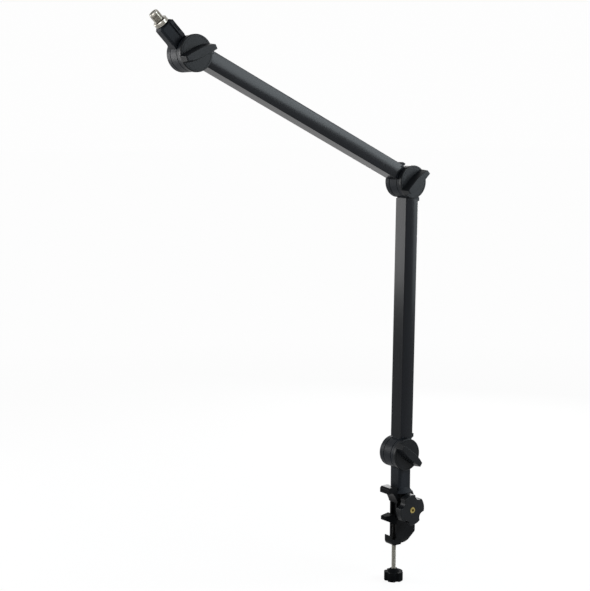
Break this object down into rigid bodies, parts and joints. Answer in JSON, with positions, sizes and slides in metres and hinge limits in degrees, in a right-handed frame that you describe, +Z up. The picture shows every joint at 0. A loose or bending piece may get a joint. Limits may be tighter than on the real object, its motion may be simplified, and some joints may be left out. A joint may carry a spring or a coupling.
{
  "type": "microphone boom arm",
  "caption": "Desk-clamped microphone boom arm: swivel post, friction joints with wing knobs, rounded rectangular tubes and a tilting head with a threaded stud.",
  "frame": {"origin": "middle of the upper jaw's gripping face, where the clamp sits on the desk", "axes": "+Z up along the swivel post, -X into the clamp's mouth and over the desk, Y along the tilt axes; the hand knobs are on the -Y side"},
  "size_m": [0.5289, 0.0597, 0.9799],
  "materials": {
    "clamp_cast": "black satin casting",
    "joint_cast": "black satin casting",
    "tube_satin": "dark satin anodised",
    "knob_plastic": "black moulded",
    "pad_rubber": "matt",
    "bronze": "plain",
    "brass": "polished",
    "bright_steel": "zinc plated",
    "nylon": "plain",
    "nickel": "nickel plated"
  },
  "bodies": {
    "clamp": {"clamp_frame": "clamp_cast", "jaw_pad": "pad_rubber", "socket_bush": "bronze", "screw_bush": "bronze"},
    "sliding_jaw": {"slide_jaw": "clamp_cast"},
    "clamp_spindle": {"clamp_screw": "bright_steel", "clamp_knob": "knob_plastic"},
    "lock_grip": {"lock_knob": "knob_plastic", "lock_insert": "brass", "lock_stud": "bright_steel"},
    "post": {"post_fork": "joint_cast", "post_spigot": "bright_steel", "base_nut": "bright_steel", "base_cap": "knob_plastic", "base_washer_front": "nylon", "base_washer_back": "nylon"},
    "base_wing": {"base_wing_knob": "knob_plastic", "base_bolt": "bright_steel"},
    "lower_arm": {"lower_tube": "tube_satin", "lower_foot": "joint_cast", "lower_fork": "joint_cast", "lower_pivot_bush": "bronze", "lower_foot_screw": "bright_steel", "lower_fork_screw": "bright_steel", "elbow_nut": "bright_steel", "elbow_cap": "knob_plastic", "elbow_washer_front": "nylon", "elbow_washer_back": "nylon"},
    "elbow_wing": {"elbow_wing_knob": "knob_plastic", "elbow_bolt": "bright_steel"},
    "upper_arm": {"upper_tube": "tube_satin", "upper_foot": "joint_cast", "upper_fork": "joint_cast", "upper_pivot_bush": "bronze", "upper_foot_screw": "bright_steel", "upper_fork_screw": "bright_steel", "head_nut": "bright_steel", "head_cap": "knob_plastic", "head_washer_front": "nylon", "head_washer_back": "nylon"},
    "head_wing": {"head_wing_knob": "knob_plastic", "head_bolt": "bright_steel"},
    "head": {"head_block": "joint_cast", "head_pivot_bush": "bronze", "head_stud": "bright_steel", "thread_adapter": "nickel"}
  },
  "joints": [
    {"name": "jaw_slide", "type": "slide", "parent": "clamp", "child": "sliding_jaw", "axis": [0, 0, 1], "range_m": [-0.022, 0.024]},
    {"name": "spindle_turn", "type": "hinge", "parent": "sliding_jaw", "child": "clamp_spindle", "pos_m": [0.01713, 0, -0.1], "axis": [0, 0, 1], "range_deg": [-6336, 6912]},
    {"name": "lock_turn", "type": "hinge", "parent": "clamp", "child": "lock_grip", "pos_m": [0.031, -0.03, -0.0287], "axis": [0, -1, 0], "range_deg": [-180, 180]},
    {"name": "post_swivel", "type": "hinge", "parent": "clamp", "child": "post", "pos_m": [0.031, 0, 0], "axis": [0, 0, 1], "continuous": true},
    {"name": "base_tilt", "type": "hinge", "parent": "post", "child": "lower_arm", "pos_m": [0.0266, 0, 0.0703], "axis": [0, 1, 0], "range_deg": [-85, 85]},
    {"name": "base_wing_turn", "type": "hinge", "parent": "post", "child": "base_wing", "pos_m": [0.0266, 0, 0.0703], "axis": [0, 1, 0], "range_deg": [-180, 180]},
    {"name": "elbow_fold", "type": "hinge", "parent": "lower_arm", "child": "upper_arm", "pos_m": [0.03414, 0, 0.55024], "axis": [0, 1, 0], "range_deg": [-78, 66]},
    {"name": "elbow_wing_turn", "type": "hinge", "parent": "lower_arm", "child": "elbow_wing", "pos_m": [0.03414, 0, 0.55024], "axis": [0, 1, 0], "range_deg": [-180, 180]},
    {"name": "head_tilt", "type": "hinge", "parent": "upper_arm", "child": "head", "pos_m": [-0.40053, 0, 0.75386], "axis": [0, 1, 0], "range_deg": [-110, 80]},
    {"name": "head_wing_turn", "type": "hinge", "parent": "upper_arm", "child": "head_wing", "pos_m": [-0.40053, 0, 0.75386], "axis": [0, 1, 0], "range_deg": [-180, 180]}
  ],
  "couplings": [
    {"joint": "spindle_turn", "follows": "jaw_slide", "rad_per_m": 5026.5}
  ]
}
